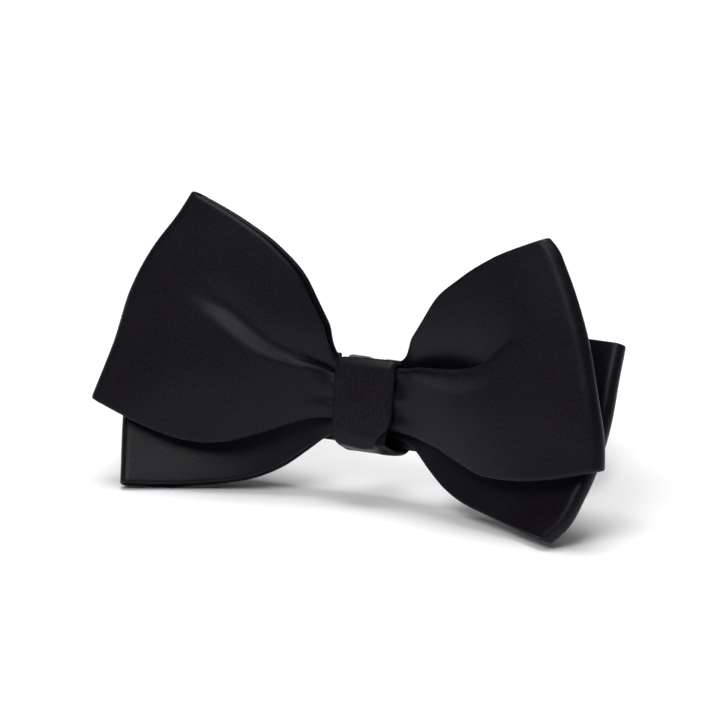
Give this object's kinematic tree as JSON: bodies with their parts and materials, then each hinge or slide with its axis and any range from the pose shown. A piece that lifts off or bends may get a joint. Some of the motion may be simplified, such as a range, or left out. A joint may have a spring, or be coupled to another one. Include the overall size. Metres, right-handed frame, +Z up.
{
  "type": "bow tie",
  "caption": "Pre-tied satin bow tie with stacked loop bows and a wrapped knot, on an adjustable neckband that closes with a hook and eye.",
  "frame": {"origin": "centre of the knot's flat back, which lies against the shirt collar", "axes": "+X along the bow, +Z up, the bow faces -Y and leans back 10 degrees"},
  "size_m": [0.1569, 0.0923, 0.0764],
  "materials": {
    "bow_satin": "blue-black satin with a soft sheen",
    "knot_satin": "blue-black satin with a soft sheen",
    "band_satin": "blue-black satin",
    "interlining": "stiff woven interlining",
    "lining": "dark woven lining",
    "padding": "thin felt",
    "thread": "dark sewing thread",
    "label": "plain woven label",
    "strap": "black ribbed strap",
    "steel": "nickel-plated steel, lightly brushed"
  },
  "bodies": {
    "bow": {"front_bow_satin": "bow_satin", "front_bow_interlining": "interlining", "front_bow_tack": "thread", "back_bow_satin": "bow_satin", "back_bow_interlining": "interlining", "back_bow_tack": "thread", "knot_band": "knot_satin", "knot_lining": "lining", "knot_padding": "padding", "knot_seam_stitches": "thread"},
    "neckband": {"neckband_cover": "band_satin", "neckband_core": "interlining", "size_label": "label", "label_stitches": "thread", "adjuster_strap": "strap", "adjuster_strap_stitches": "thread", "eye": "steel", "eye_tab": "strap", "eye_tab_stitches": "thread"},
    "adjuster": {"adjuster_slide": "steel", "adjuster_return": "strap", "adjuster_return_stitches": "thread"},
    "clasp_end": {"hook": "steel", "hook_loop": "strap"}
  },
  "joints": [
    {"name": "band_shift", "type": "slide", "parent": "bow", "child": "neckband", "axis": [1, 0, 0], "range_m": [-0.004, 0.004]},
    {"name": "adjuster_travel", "type": "slide", "parent": "neckband", "child": "adjuster", "axis": [1, 0, 0], "range_m": [0, 0.012]},
    {"name": "clasp_release", "type": "slide", "parent": "neckband", "child": "clasp_end", "axis": [-0.7071, 0.7071, 0], "range_m": [0, 0.008]}
  ]
}
